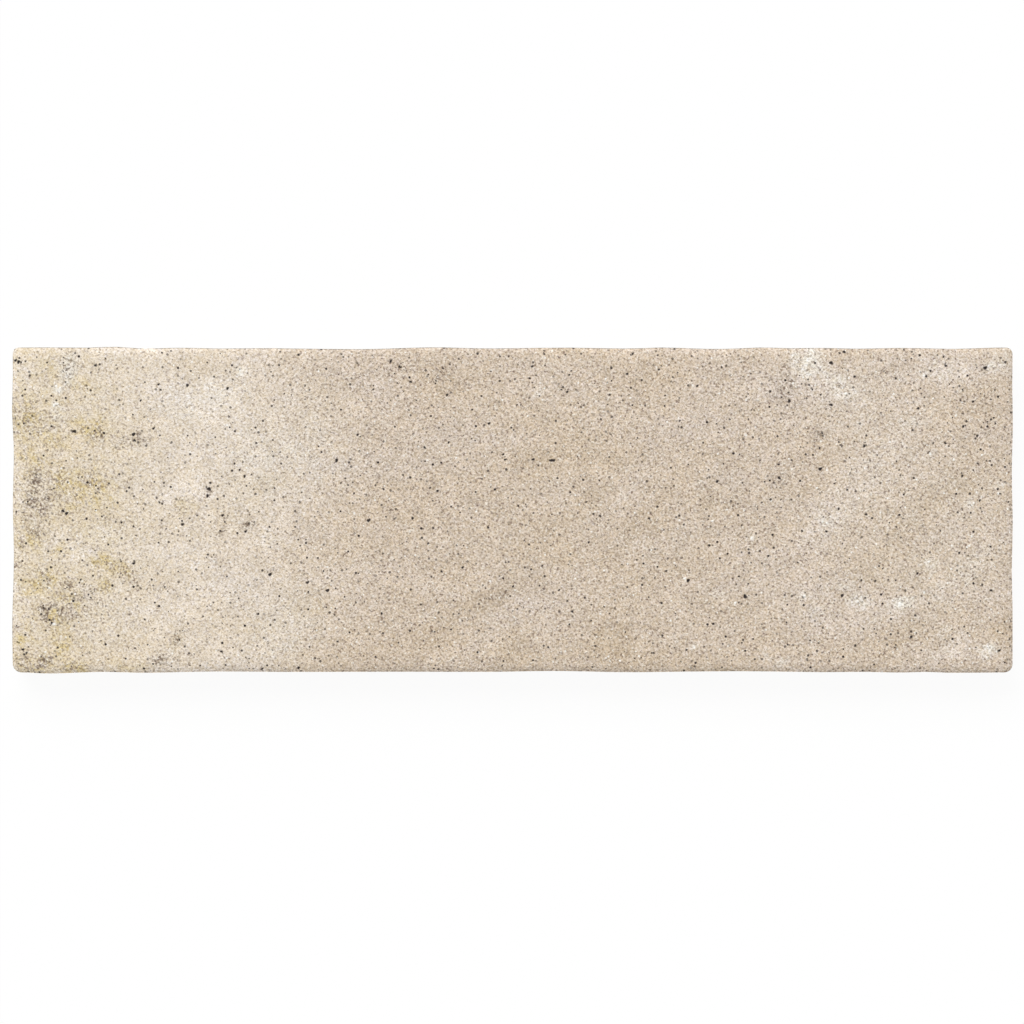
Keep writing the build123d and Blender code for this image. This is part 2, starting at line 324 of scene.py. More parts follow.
@dataclass(frozen=True)
class Lumps:
    """A noise: the size of its coarsest lumps, how many finer octaves it has and how strong those are."""

    size: float
    detail: float
    rough: float = 0.5

    def on(self, place: Socket) -> dict[str, Any]:
        """The inputs of the noise when it is laid on some coordinates."""
        scale = per_metre(self.size)
        return {"Vector": place, "Scale": scale, "Detail": self.detail, "Roughness": self.rough}


@dataclass(frozen=True)
class Span:
    """A range of values, and what its beginning and its end become."""

    low: float
    high: float
    to_low: float
    to_high: float

    def of(self, value: Socket) -> tuple[Any, ...]:
        """The inputs that map a value from the range and hold it there."""
        return (value, self.low, self.high, self.to_low, self.to_high)


@dataclass(frozen=True)
class Fleck:
    """Short ragged marks of one kind: their noise, how much of it shows, and colour.

    The gain is how far a full weathering lowers the noise at which they begin.
    """

    lumps: Lumps
    shown: Span
    colour: str
    gain: float


@dataclass(frozen=True)
class Dot:
    """Round grains of one kind that lie singly: spacing, radius, the share that shows, and colour.

    Sizes run from the smallest grain's to the largest's, and the rim is where a grain begins to fade, all as
    shares of the radius. The gain is how many more grains a full weathering brings out, and a grain that only
    just shows is faint. The redraw makes a second lot, for the size, of the lot that says which grains show.
    """

    spacing: float
    radius: float
    share: float
    strength: float
    colour: str
    sizes: Span = Span(0.0, 1.0, 0.5, 1.1)
    rim: float = 0.65
    gain: float = 0.2
    faint: float = 0.1
    redraw: float = 37.0


# Fired clay with a sand coat scatters all the light that falls on it. The eye gets a dry, chalky surface with
# no reflections: a salt and pepper of single grains, dark pits, and stains that sink in with soft rims. Real
# sand of about 0.2 mm is too fine to show, so its grain is drawn twice as coarse.
@dataclass(frozen=True)
class SandFace:
    """The face: clay fired with a coat of sand, matte, pitted where grains fell out, and weathered."""

    beige: str = "#E3D0BF"
    cream: str = "#F6E7D9"
    ochre: str = "#E3CD98"
    soot: str = "#756556"
    bloom: str = "#FFFBF4"
    # Near black inside the pits: their dark grain, with painted shade in the hollows
    pit: str = "#2A211F"
    warm: str = "#FFFAE9"
    cool: str = "#EFF5FF"
    brown: Fleck = Fleck(Lumps(0.46, 1.0), Span(0.55, 0.76, 0.0, 0.85), "#7C6457", 0.055)
    pale: Fleck = Fleck(Lumps(0.46, 1.0), Span(0.55, 0.76, 0.0, 0.8), "#FDF4E5", 0.11)
    smut: Fleck = Fleck(Lumps(0.68, 1.0), Span(0.66, 0.86, 0.0, 0.78), "#675445", 0.16)
    # Single dark specks: dark grains, and painted shade where they stand for pinholes too small to model
    black: Dot = Dot(1.3, 0.27, 0.34, 1.0, "#2A1F1C")
    white: Dot = Dot(1.9, 0.23, 0.38, 0.95, "#FFFDF6")
    grain: Lumps = Lumps(0.4, 1.0, 0.6)
    grain_level: Span = Span(0.2, 0.8, 0.5, 1.5)
    grain_turn: tuple[float, float, float] = (0.4, 0.3, 0.8)
    pale_shift: tuple[float, float, float] = (1.0, 2.0, 3.0)
    white_shift: tuple[float, float, float] = (0.5, 0.3, 0.0)
    cream_calm: Span = Span(0.0, 1.0, 1.0, 0.74)
    dirt_crust: float = 0.5
    tint: Lumps = Lumps(0.8, 2.0, 0.7)
    tint_cast: Span = Span(0.6, 1.4, 0.0, 1.0)
    mottle: Lumps = Lumps(3.2, 3.0)
    mottle_level: Span = Span(0.2, 0.8, 0.89, 1.11)
    drift: Lumps = Lumps(9.0, 2.0)
    drift_turn: float = 42.0
    drift_stretch: float = 0.35
    drift_level: Span = Span(0.8, 0.2, 1.07, 0.93)
    drift_cast: float = 0.5
    # How far the tone-and-light patches darken or pale the colour: partly clay tone, partly painted light and
    # shade
    tone_and_painted_light_level: Span = Span(-1.0, 1.0, 1.13, 0.87)
    stain: Lumps = Lumps(1.3, 3.0, 0.7)
    stain_stretch: float = 0.5
    crumb: Lumps = Lumps(0.9, 2.0, 0.6)
    ochre_share: Span = Span(0.34, 0.66, 0.15, 1.15)
    soot_share: Span = Span(0.4, 0.66, 0.05, 0.3)
    bloom_share: Span = Span(0.35, 0.65, 0.25, 0.85)
    relief: float = 0.16
    pale_rise: float = 0.6
    brown_rise: float = -0.4
    black_rise: float = -0.8
    roughness: Span = Span(0.3, 0.7, 0.74, 0.9)


# Dust-pressed clay left bare is close and plain. The eye gets one dull buff with a fine dark grain, faint
# upright lines where the die drew along the sides, and a paler bloom of kiln wash where the ribs stood.
@dataclass(frozen=True)
class Biscuit:
    """The body where no sand reached: dust-pressed clay, close and dry, drawn by the die on its sides."""

    clay: str = "#D8CAB5"
    dark_grain: str = "#A9967F"
    wash: str = "#E9E3D8"
    speck: str = "#4F4238"
    grain: Lumps = Lumps(0.6, 3.0)
    grain_share: Span = Span(0.45, 0.75, 0.0, 0.6)
    cloud: Lumps = Lumps(7.0, 2.0)
    cloud_level: Span = Span(0.3, 0.7, 0.9, 1.06)
    drag: Lumps = Lumps(0.8, 2.0)
    drag_stretch: float = 0.1
    drag_level: Span = Span(0.3, 0.7, 0.86, 1.1)
    speck_share: float = 0.75
    wash_height: float = 0.12
    wash_share: float = 0.7


@dataclass(frozen=True)
class FiredClay:
    """The tile's one material: a sand-faced fired clay body."""

    face: SandFace = SandFace()
    biscuit: Biscuit = Biscuit()
    name: str = "sand_faced_fired_clay"

    def make(self) -> bpy.types.Material:
        """Builds the material.

        Returns:
            The material, which reads Object coordinates and the tile's own attributes.
        """
        material = bpy.data.materials.new(self.name)
        material.use_nodes = True
        tree = material.node_tree
        tree.nodes.clear()
        face = self.face
        place = add_node(tree, "TexCoord")["Object"]
        masks = {w: add_node(tree, "Attribute", attribute_name=w.value)["Fac"] for w in Weather}
        pit, loose, bare = (
            add_node(tree, "Attribute", attribute_name=name)["Fac"] for name in ("pit", "loose", "bare")
        )
        soot, bloom = masks[Weather.SOOT], masks[Weather.BLOOM]
        # The noise's own lattice would show as a weave along the tile, so it is turned out of line with it
        turned = add_node(tree, "Mapping", {"Vector": place, "Rotation": face.grain_turn})["Vector"]
        other = add_node(tree, "Mapping", {"Vector": turned, "Location": face.pale_shift})["Vector"]
        beside = add_node(tree, "Mapping", {"Vector": place, "Location": face.white_shift})["Vector"]
        grain = add_node(tree, "TexNoise", face.grain.on(turned))["Fac"]
        # Clean cream is finer and calmer than beige, and soot brings its coarseness back
        clean = add_node(tree, "Math", (masks[Weather.CREAM], soot), operation="SUBTRACT")[0]
        calm = add_node(tree, "MapRange", face.cream_calm.of(clean))[0]
        dirt = add_node(tree, "Math", (soot, masks[Weather.OCHRE]), operation="ADD")[0]
        crust = add_node(tree, "Math", (dirt, face.dirt_crust, bloom), operation="MULTIPLY_ADD")[0]
        brown, pale = (
            add_node(tree, "Math", (calm, marks), operation="MULTIPLY")[0]
            for marks in (
                self.flecks(tree, turned, face.brown, dirt),
                self.flecks(tree, other, face.pale, crust),
            )
        )
        smut = self.flecks(tree, turned, face.smut, soot)
        # Dark specks: dark grains, and painted shade for pinholes too small to model
        black = self.dots(tree, place, face.black, soot)
        white = self.dots(tree, beside, face.white, bloom)
        colour = self.tone(tree, place, masks)
        colour = self.stains(tree, turned, colour, masks)
        colour = self.sand(tree, turned, colour, grain, calm)
        for share, over in (
            (pale, linear(face.pale.colour)),
            (brown, linear(face.brown.colour)),
            (smut, linear(face.smut.colour)),
            (white, linear(face.white.colour)),
            (black, linear(face.black.colour)),
            (loose, linear(face.white.colour)),
            # The pits are painted near black: their dark grain and painted shade in their hollows
            (pit, linear(face.pit)),
            (bare, self.bare_colour(tree, place, black)),
        ):
            colour = add_node(tree, "Mix", {0: share, MIX_A: colour, MIX_B: over}, **COVER)[MIX_OUT]
        height = grain
        for share, rise in ((pale, face.pale_rise), (brown, face.brown_rise), (black, face.black_rise)):
            height = add_node(tree, "Math", (share, rise, height), operation="MULTIPLY_ADD")[0]
        rough = add_node(tree, "MapRange", face.roughness.of(grain))[0]
        lift = {"Strength": 1.0, "Distance": face.relief * MM, "Height": height}
        bump = add_node(tree, "Bump", lift)["Normal"]
        skin = {"Base Color": colour, "Roughness": rough, "Normal": bump}
        shader = add_node(tree, "BsdfPrincipled", skin)["BSDF"]
        add_node(tree, "OutputMaterial", {"Surface": shader})
        return material

    def tone(self, tree: Tree, place: Socket, masks: dict[Weather, Socket]) -> Socket:
        """Makes the fired colour: cream at the flashed end, beige elsewhere, in slanting drifts, paler and
        darker in patches of tone and painted light and shade.

        Args:
            tree: The material's nodes.
            place: Object coordinates.
            masks: The weathering attributes.

        Returns:
            The colour.
        """
        face = self.face
        slant = {
            "Vector": place,
            "Rotation": (0.0, 0.0, math.radians(-face.drift_turn)),
            "Scale": (face.drift_stretch, 1.0, 1.0),
        }
        slanted = add_node(tree, "Mapping", slant)["Vector"]
        drift = add_node(tree, "TexNoise", face.drift.on(slanted))["Fac"]
        mottle = add_node(tree, "TexNoise", face.mottle.on(place))["Fac"]
        ends = {0: masks[Weather.CREAM], MIX_A: linear(face.beige), MIX_B: linear(face.cream)}
        colour = add_node(tree, "Mix", ends, **COVER)[MIX_OUT]
        light = add_node(tree, "MapRange", face.mottle_level.of(mottle))[0]
        colour = add_node(tree, "Mix", {0: 1.0, MIX_A: colour, MIX_B: light}, **TINT)[MIX_OUT]
        # A dark drift is warmer than a pale one, and so is a darker tone-and-light patch, which is partly
        # painted shade
        for value, level in ((drift, face.drift_level), (masks[Weather.TONE_AND_PAINTED_LIGHT], face.tone_and_painted_light_level)):
            light = add_node(tree, "MapRange", level.of(value))[0]
            colour = add_node(tree, "Mix", {0: 1.0, MIX_A: colour, MIX_B: light}, **TINT)[MIX_OUT]
            warmth = add_node(tree, "MapRange", replace(level, to_low=0.0, to_high=1.0).of(value))[0]
            casts = {0: warmth, MIX_A: linear(face.cool), MIX_B: linear(face.warm)}
            cast = add_node(tree, "Mix", casts, **COVER)[MIX_OUT]
            colour = add_node(tree, "Mix", {0: face.drift_cast, MIX_A: colour, MIX_B: cast}, **TINT)[MIX_OUT]
        return colour

    def stains(self, tree: Tree, place: Socket, colour: Socket, masks: dict[Weather, Socket]) -> Socket:
        """Lays the ochre, pale bloom and soot over the fired colour.

        Args:
            tree: The material's nodes.
            place: Object coordinates.
            colour: The fired colour.
            masks: The weathering attributes.

        Returns:
            The stained colour.
        """
        face = self.face
        drawn_out = {"Vector": place, "Scale": (face.stain_stretch, 1.0, 1.0)}
        streaked = add_node(tree, "Mapping", drawn_out)["Vector"]
        streaks = add_node(tree, "TexNoise", face.stain.on(streaked))["Fac"]
        crumbs = add_node(tree, "TexNoise", face.crumb.on(place))["Fac"]
        for weather, lumps, share, over in (
            (Weather.OCHRE, streaks, face.ochre_share, face.ochre),
            (Weather.BLOOM, crumbs, face.bloom_share, face.bloom),
            (Weather.SOOT, crumbs, face.soot_share, face.soot),
        ):
            patchy = add_node(tree, "MapRange", share.of(lumps))[0]
            amount = add_node(tree, "Math", (masks[weather], patchy), operation="MULTIPLY")[0]
            stain = {0: amount, MIX_A: colour, MIX_B: linear(over)}
            colour = add_node(tree, "Mix", stain, **COVER)[MIX_OUT]
        return colour

    def sand(self, tree: Tree, place: Socket, colour: Socket, grain: Socket, amount: Socket) -> Socket:
        """Gives each lump of sand its own lightness, and a cast a little warmer or cooler than the next.

        Args:
            tree: The material's nodes.
            place: Object coordinates.
            colour: The colour under the sand.
            grain: The grain noise.
            amount: How strong the lumps are.

        Returns:
            The sandy colour.
        """
        face = self.face
        level = add_node(tree, "MapRange", face.grain_level.of(grain))[0]
        colour = add_node(tree, "Mix", {0: amount, MIX_A: colour, MIX_B: level}, **TINT)[MIX_OUT]
        # A light grain is cooler and a dark one warmer, on top of the chance cast of each
        chance = add_node(tree, "TexNoise", face.tint.on(place))["Fac"]
        lot = add_node(tree, "Math", (chance, grain), operation="ADD")[0]
        share = add_node(tree, "MapRange", face.tint_cast.of(lot))[0]
        casts = {0: share, MIX_A: linear(face.warm), MIX_B: linear(face.cool)}
        cast = add_node(tree, "Mix", casts, **COVER)[MIX_OUT]
        return add_node(tree, "Mix", {0: 1.0, MIX_A: colour, MIX_B: cast}, **TINT)[MIX_OUT]

    def flecks(self, tree: Tree, place: Socket, kind: Fleck, more: Socket) -> Socket:
        """Scatters short ragged marks over the face.

        Args:
            tree: The material's nodes.
            place: The coordinates that they are laid on.
            kind: The marks.
            more: A weathering that brings out more of them.

        Returns:
            How much of a mark shows at each place.
        """
        lumps = add_node(tree, "TexNoise", kind.lumps.on(place))["Fac"]
        raised = add_node(tree, "Math", (more, kind.gain, lumps), operation="MULTIPLY_ADD")[0]
        return add_node(tree, "MapRange", kind.shown.of(raised))[0]

    def dots(self, tree: Tree, place: Socket, kind: Dot, more: Socket) -> Socket:
        """Scatters single grains over the face, each with its own size and strength.

        Args:
            tree: The material's nodes.
            place: Object coordinates.
            kind: The grains.
            more: A weathering that brings out more of them.

        Returns:
            How much of a grain shows at each place.
        """
        # A flat scatter would smear down the sides, so they are folded outwards into its plane
        up = add_node(tree, "SeparateXYZ", (place,))["Z"]
        drop = add_node(tree, "Math", (cad_high.z, up), operation="SUBTRACT")[0]
        outward = add_node(tree, "TexCoord")["Normal"]
        fold = add_node(tree, "VectorMath", {0: outward, "Scale": drop}, operation="SCALE")["Vector"]
        flat = add_node(tree, "VectorMath", (place, fold), operation="ADD")["Vector"]
        scattered = {"Vector": flat, "Scale": per_metre(kind.spacing)}
        cells = add_node(tree, "TexVoronoi", scattered, voronoi_dimensions="2D")
        # The cell's red and green also place its grain, so only blue is drawn on for luck and size
        lot = add_node(tree, "SeparateColor", (cells["Color"],))["Blue"]
        spun = add_node(tree, "Math", (lot, kind.redraw), operation="MULTIPLY")[0]
        second = add_node(tree, "Math", (spun,), operation="FRACT")[0]
        size = add_node(tree, "MapRange", kind.sizes.of(second))[0]
        gap = add_node(tree, "Math", (cells["Distance"], size), operation="DIVIDE")[0]
        radius = kind.radius / kind.spacing
        near = add_node(tree, "MapRange", (gap, kind.rim * radius, radius, 1.0, 0.0))[0]
        luck = add_node(tree, "Math", (more, kind.gain, lot), operation="MULTIPLY_ADD")[0]
        shown = add_node(tree, "MapRange", (luck, 1.0 - kind.share, 1.0, kind.faint, kind.strength))[0]
        return add_node(tree, "Math", (near, shown), operation="MULTIPLY")[0]

    def bare_colour(self, tree: Tree, place: Socket, specks: Socket) -> Socket:
        """Makes the biscuit's colour, with pale kiln wash on the crowns of the key ribs.

        Args:
            tree: The material's nodes.
            place: Object coordinates.
            specks: Where the face has its single dark specks, partly dark grains and partly painted pinhole
                shade, which are laid on the body too.

        Returns:
            The colour.
        """
        biscuit = self.biscuit
        grain = add_node(tree, "TexNoise", biscuit.grain.on(place))["Fac"]
        share = add_node(tree, "MapRange", biscuit.grain_share.of(grain))[0]
        clays = {0: share, MIX_A: linear(biscuit.clay), MIX_B: linear(biscuit.dark_grain)}
        colour = add_node(tree, "Mix", clays, **COVER)[MIX_OUT]
        # The die draws lines up the sides, so their noise is stretched along the height
        drawn = {"Vector": place, "Scale": (1.0, 1.0, biscuit.drag_stretch)}
        upright = add_node(tree, "Mapping", drawn)["Vector"]
        for lumps, at, level in (
            (biscuit.cloud, place, biscuit.cloud_level),
            (biscuit.drag, upright, biscuit.drag_level),
        ):
            cloud = add_node(tree, "TexNoise", lumps.on(at))["Fac"]
            light = add_node(tree, "MapRange", level.of(cloud))[0]
            colour = add_node(tree, "Mix", {0: 1.0, MIX_A: colour, MIX_B: light}, **TINT)[MIX_OUT]
        speckled = add_node(tree, "Math", (specks, biscuit.speck_share), operation="MULTIPLY")[0]
        height = add_node(tree, "SeparateXYZ", (place,))["Z"]
        washed = Span(biscuit.wash_height * MM, 0.0, 0.0, biscuit.wash_share)
        crown = add_node(tree, "MapRange", washed.of(height))[0]
        for share, over in ((speckled, biscuit.speck), (crown, biscuit.wash)):
            layer = {0: share, MIX_A: colour, MIX_B: linear(over)}
            colour = add_node(tree, "Mix", layer, **COVER)[MIX_OUT]
        return colour


class PressedForm:
    """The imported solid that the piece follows: where its side and its face lie."""

    reach: float = 3.0

    def __init__(self, node: bpy.types.Object) -> None:
        """Reads the solid.

        Args:
            node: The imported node.
        """
        self.tree = BVHTree.FromObject(node, bpy.context.evaluated_depsgraph_get())
        self.low, self.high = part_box(node.name)
        self.half = (self.high - self.low) / 2.0

    def wall(self, point: Vector) -> tuple[Vector, Vector]:
        """Finds the side nearest to a point.

        Args:
            point: A point near the side, at mid height.

        Returns:
            The place on the side, and the level direction out of it.
        """
        place, normal, _, _ = self.tree.find_nearest(point)
        return place, Vector((normal.x, normal.y, 0.0)).normalized()

    def side(self, point: Vector, outward: Vector) -> Vector:
        """Finds the side at a point's own height.

        Args:
            point: A point near the side.
            outward: The level direction out of the side there.

        Returns:
            The place on the side.
        """
        reach = self.reach * MM
        place, _, _, _ = self.tree.ray_cast(point + outward * reach, -outward, 2.0 * reach)
        return place or point

    def face(self, x: float, y: float) -> float:
        """The height of the face at a place, in metres."""
        place, _, _, _ = self.tree.ray_cast(Vector((x, y, 2.0 * self.high.z)), -UP)
        return place.z if place else self.high.z


@dataclass
class TileBody:
    """The whole tile: a fine sandy face, pressed sides and the keyed back, as one closed piece.

    Sizes are in millimetres and angles in degrees. A spot's depth, reach and lobes are shares of its radius,
    and the bands are shares of the flat sheet that the surface is laid out on.
    """

    node: str = "tile"
    cell: float = 0.5
    edge_insets: tuple[float, ...] = (0.0, 0.04, 0.15, 0.35, 0.65, 1.05, 1.5, 2.0)
    edge_pull: float = 8.0
    edge_step: float = 0.02
    wall_height: float = 5.5
    side_rings: tuple[float, ...] = (7.2, 6.0, 4.6, 3.2, 2.2, 1.2, 0.35)
    weld: float = 0.001
    back_top: float = 0.9
    flat_angle: float = 1.0
    rim_angle: float = 10.0
    rim_level: float = 0.01
    rim_round: float = 0.18
    sharp_angle: float = 40.0
    rub: float = 0.14
    rub_size: float = 2.2
    rub_stretch: float = 0.3
    pit_cuts: int = 3
    pit_growth: float = 1.12
    small_pits: int = 215
    small_pit_radius: tuple[float, float] = (0.14, 0.27)
    small_pit_field: tuple[float, float] = (0.985, 0.96)
    pit_depth: float = 0.55
    grain_rise: float = 0.25
    spot_turn: float = 7.0
    spot_reach: float = 1.6
    spot_lobes: tuple[float, float] = (0.17, 0.13)
    spot_slope: float = 1.35
    spot_edge: float = 2.6
    swell: float = 0.08
    swell_size: float = 22.0
    edge_fall: float = 0.12
    edge_fall_reach: float = 4.0
    sand: float = 0.035
    sand_size: float = 1.1
    sand_octaves: tuple[float, float, int] = (0.8, 2.0, 2)
    wander: float = 1.0
    wander_size: float = 2.4
    clumping: dict[Weather, float] = field(
        default_factory=lambda: {Weather.OCHRE: 0.45, Weather.SOOT: 0.9, Weather.BLOOM: 0.9}
    )
    clump_size: float = 1.9
    sand_line: float = 7.6
    sand_fade: float = 1.2
    ragged: float = 1.0
    ragged_size: float = 1.4
    # The face's rim is painted paler: partly edge wear, partly a painted highlight that lightens the rim's
    # shading
    worn_and_lit_edge: float = 0.4
    worn_and_lit_reach: float = 1.3
    sheet_margin: float = 0.004
    face_from: float = 0.85
    back_to: float = 0.12
    back_tilt: float = 0.3
    face_band: Band = (0.36, 0.636)
    back_band: Band = (0.145, 0.205)
    side_bands: tuple[Band, Band] = ((0.04, 0.03), (0.004, 0.03))
    end_bands: tuple[Band, Band] = ((0.11, 0.03), (0.076, 0.03))
    seed: int = 7
    columns: list[float] = field(init=False)
    rows: list[float] = field(init=False)
    form: PressedForm = field(init=False)

    def __post_init__(self) -> None:
        """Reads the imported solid."""
        self.form = PressedForm(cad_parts[self.node])

    def build(self, material: bpy.types.Material) -> bpy.types.Object:
        """Models the tile, dresses it and hands it to the frame.

        Args:
            material: The fired clay.

        Returns:
            The finished object.
        """
        shell = bmesh.new()
        back = self.lay_back(shell)
        cells, face_rim = self.lay_face(shell)
        pits = self.scatter_pits()
        grains = [(x * MM, y * MM, r * MM) for x, y, r in LARGE_GRAINS]
        self.refine(shell, cells, pits + grains)
        self.roughen(shell)
        self.press(shell, pits, "pit", self.pit_depth)
        self.press(shell, grains, "loose", -self.grain_rise)
        self.hang_sides(shell, face_rim, back)
        bmesh.ops.recalc_face_normals(shell, faces=shell.faces)
        self.unwrap(shell)
        mesh = bpy.data.meshes.new(self.node)
        shell.to_mesh(mesh)
        shell.free()
        mesh.shade_smooth()
        mesh.set_sharp_from_angle(angle=math.radians(self.sharp_angle))
        self.paint(mesh)
        mesh.materials.append(material)
        piece = bpy.data.objects.new("fired_tile", mesh)
        bpy.context.scene.collection.objects.link(piece)
        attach(piece, "root")
        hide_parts(self.node)
        return piece

    def lay_back(self, shell: Shell) -> list[Edge]:
        """Starts the shell with the keyed back, its pocket rims softened as pressing leaves them.

        Args:
            shell: The empty shell.

        Returns:
            The open edges round the back.
        """
        shell.from_mesh(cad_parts[self.node].data)
        bmesh.ops.remove_doubles(shell, verts=shell.verts, dist=self.weld * MM)
        others = [f for f in shell.faces if max(v.co.z for v in f.verts) > self.back_top * MM]
        bmesh.ops.delete(shell, geom=others, context="FACES")
        flat = math.radians(self.flat_angle)
        bmesh.ops.dissolve_limit(shell, angle_limit=flat, verts=shell.verts, edges=shell.edges)
        steep = math.radians(self.rim_angle)
        rims = [
            e
            for e in shell.edges
            if e.calc_face_angle(0.0) > steep and max(v.co.z for v in e.verts) < self.rim_level * MM
        ]
        bmesh.ops.bevel(
            shell, geom=rims, offset=self.rim_round * MM, segments=2, profile=0.5, affect="EDGES", material=-1
        )
        return [e for e in shell.edges if e.is_boundary]

    def lines(self, half: float) -> list[float]:
        """Spaces the face's grid lines, close together over the cushion edge.

        Args:
            half: Half the face's length or width, in metres.

        Returns:
            The lines from one edge to the other, in metres.
        """
        inner = half - self.edge_insets[-1] * MM
        steps = round(2.0 * inner / (self.cell * MM))
        edge = [inset * MM - half for inset in self.edge_insets[:-1]]
        middle = [2.0 * inner * k / steps - inner for k in range(steps + 1)]
        return edge + middle + [-x for x in reversed(edge)]

    def lay_face(self, shell: Shell) -> tuple[Cells, list[Edge]]:
        """Lays a fine grid over the face and its cushion edge, drawn out to the wavy outline.

        Args:
            shell: The shell, which holds the back.

        Returns:
            The grid's cells by column and row, and the open edges round the face.
        """
        half = self.form.half
        middle = (self.form.high + self.form.low) / 2.0
        columns, rows = self.lines(half.x), self.lines(half.y)
        made = bmesh.ops.create_grid(
            shell, x_segments=len(columns) - 1, y_segments=len(rows) - 1, size=1.0
        )["verts"]
        level = self.wall_height * MM
        top = [self.form.wall(Vector((middle.x + x, middle.y + half.y, level)))[0].y for x in columns]
        bottom = [self.form.wall(Vector((middle.x + x, middle.y - half.y, level)))[0].y for x in columns]
        right = [self.form.wall(Vector((middle.x + half.x, middle.y + y, level)))[0].x for y in rows]
        left = [self.form.wall(Vector((middle.x - half.x, middle.y + y, level)))[0].x for y in rows]

        def pull(inset: float) -> float:
            """How far a grid line follows the edge, by its distance from it."""
            return smooth(1.0 - inset / (self.edge_pull * MM))

        grid: dict[tuple[int, int], bmesh.types.BMVert] = {}
        for vertex in made:
            i = round((vertex.co.x + 1.0) / 2.0 * (len(columns) - 1))
            j = round((vertex.co.y + 1.0) / 2.0 * (len(rows) - 1))
            x, y = middle.x + columns[i], middle.y + rows[j]
            shift_x = (right[j] - middle.x - half.x) * pull(half.x - columns[i])
            shift_x += (left[j] - middle.x + half.x) * pull(half.x + columns[i])
            shift_y = (top[i] - middle.y - half.y) * pull(half.y - rows[j])
            shift_y += (bottom[i] - middle.y + half.y) * pull(half.y + rows[j])
            x, y = x + shift_x, y + shift_y
            if i in (0, len(columns) - 1) or j in (0, len(rows) - 1):
                edge, outward = self.form.wall(Vector((x, y, level)))
                inside = edge - outward * self.edge_step * MM
                vertex.co = Vector((edge.x, edge.y, self.form.face(inside.x, inside.y)))
            else:
                vertex.co = Vector((x, y, self.form.face(x, y)))
            grid[(i, j)] = vertex
        cells: Cells = {}
        numbers = {vertex: at for at, vertex in grid.items()}
        for face in dict.fromkeys(f for v in made for f in v.link_faces):
            at = [numbers[v] for v in face.verts]
            cells[(min(i for i, _ in at), min(j for _, j in at))] = face
        self.columns = [middle.x + x for x in columns]
        self.rows = [middle.y + y for y in rows]
        return cells, [e for v in made for e in v.link_edges if e.is_boundary and e.verts[0] == v]

    def scatter_pits(self) -> list[Spot]:
        """Adds seeded small pits to the large ones.

        Returns:
            Every pit's place and radius, in metres.
        """
        draw = random.Random(self.seed)
        half = self.form.half
        low, high = self.small_pit_radius
        share_x, share_y = self.small_pit_field
        pits = [(x * MM, y * MM, self.pit_growth * r * MM) for x, y, r in LARGE_PITS]
        for _ in range(self.small_pits):
            x, y = draw.uniform(-half.x, half.x), draw.uniform(-half.y, half.y)
            pits.append((share_x * x, share_y * y, (low + (high - low) * draw.random() ** 2) * MM))
        return pits

    def refine(self, shell: Shell, cells: Cells, spots: Iterable[Spot]) -> None:
        """Cuts the grid's cells under each pit and grain finer.

        Args:
            shell: The shell.
            cells: The grid's cells by column and row.
            spots: Every pit's and grain's place and radius.
        """
        edges: dict[Edge, None] = {}
        for x, y, radius in spots:
            first = bisect.bisect(self.columns, x - radius) - 1
            last = bisect.bisect(self.columns, x + radius) - 1
            under = bisect.bisect(self.rows, y - radius) - 1
            over = bisect.bisect(self.rows, y + radius) - 1
            for i in range(first, last + 1):
                for j in range(under, over + 1):
                    if (i, j) in cells:
                        edges.update(dict.fromkeys(cells[(i, j)].edges))
        bmesh.ops.subdivide_edges(shell, edges=list(edges), cuts=self.pit_cuts, use_grid_fill=True)

    def roughen(self, shell: Shell) -> None:
        """Gives the face its slow swell and fine sand, and lets it fall a little towards its edges.

        Args:
            shell: The shell, whose face is laid and refined.
        """
        half = self.form.half
        for vertex in shell.verts:
            if vertex.is_boundary or vertex.co.z < self.wall_height * MM:
                continue
            wide = noise.noise(vertex.co / (self.swell_size * MM))
            fine = noise.fractal(vertex.co / (self.sand_size * MM), *self.sand_octaves)
            inset = min(half.x - abs(vertex.co.x), half.y - abs(vertex.co.y))
            fall = max(0.0, 1.0 - inset / (self.edge_fall_reach * MM)) ** 2
            sink = self.swell * (0.5 - 0.5 * wide) + self.sand * (0.5 - 0.5 * fine) + self.edge_fall * fall
            vertex.co.z -= sink * MM

    def press(self, shell: Shell, spots: Iterable[Spot], name: str, depth: float) -> None:
        """Sinks pits into the face, or raises grains from it, each with its own uneven rim.

        Args:
            shell: The shell, whose face is laid and refined.
            spots: Every spot's place and radius.
            name: The attribute that says where the spots are.
            depth: How deep a spot goes, as a share of its radius. A grain's is below nothing.
        """
        layer = shell.verts.layers.float.new(name)
        face = [v for v in shell.verts if v.co.z > self.wall_height * MM]
        tree = kdtree.KDTree(len(face))
        for k, vertex in enumerate(face):
            tree.insert((vertex.co.x, vertex.co.y, 0.0), k)
        tree.balance()
        two, three = self.spot_lobes
        for x, y, radius in spots:
            turn = self.spot_turn * noise.noise(Vector((x, y, 0.0)) / MM)
            for co, k, gap in tree.find_range((x, y, 0.0), self.spot_reach * radius):
                way = math.atan2(co.y - y, co.x - x)
                lobes = two * math.sin(2.0 * way + turn) + three * math.sin(3.0 * way - turn)
                inward = 1.0 - gap / (radius * (1.0 + lobes))
                sink = smooth(self.spot_slope * inward)
                face[k].co.z -= sink * depth * radius
                face[k][layer] = max(face[k][layer], smooth(self.spot_edge * inward))

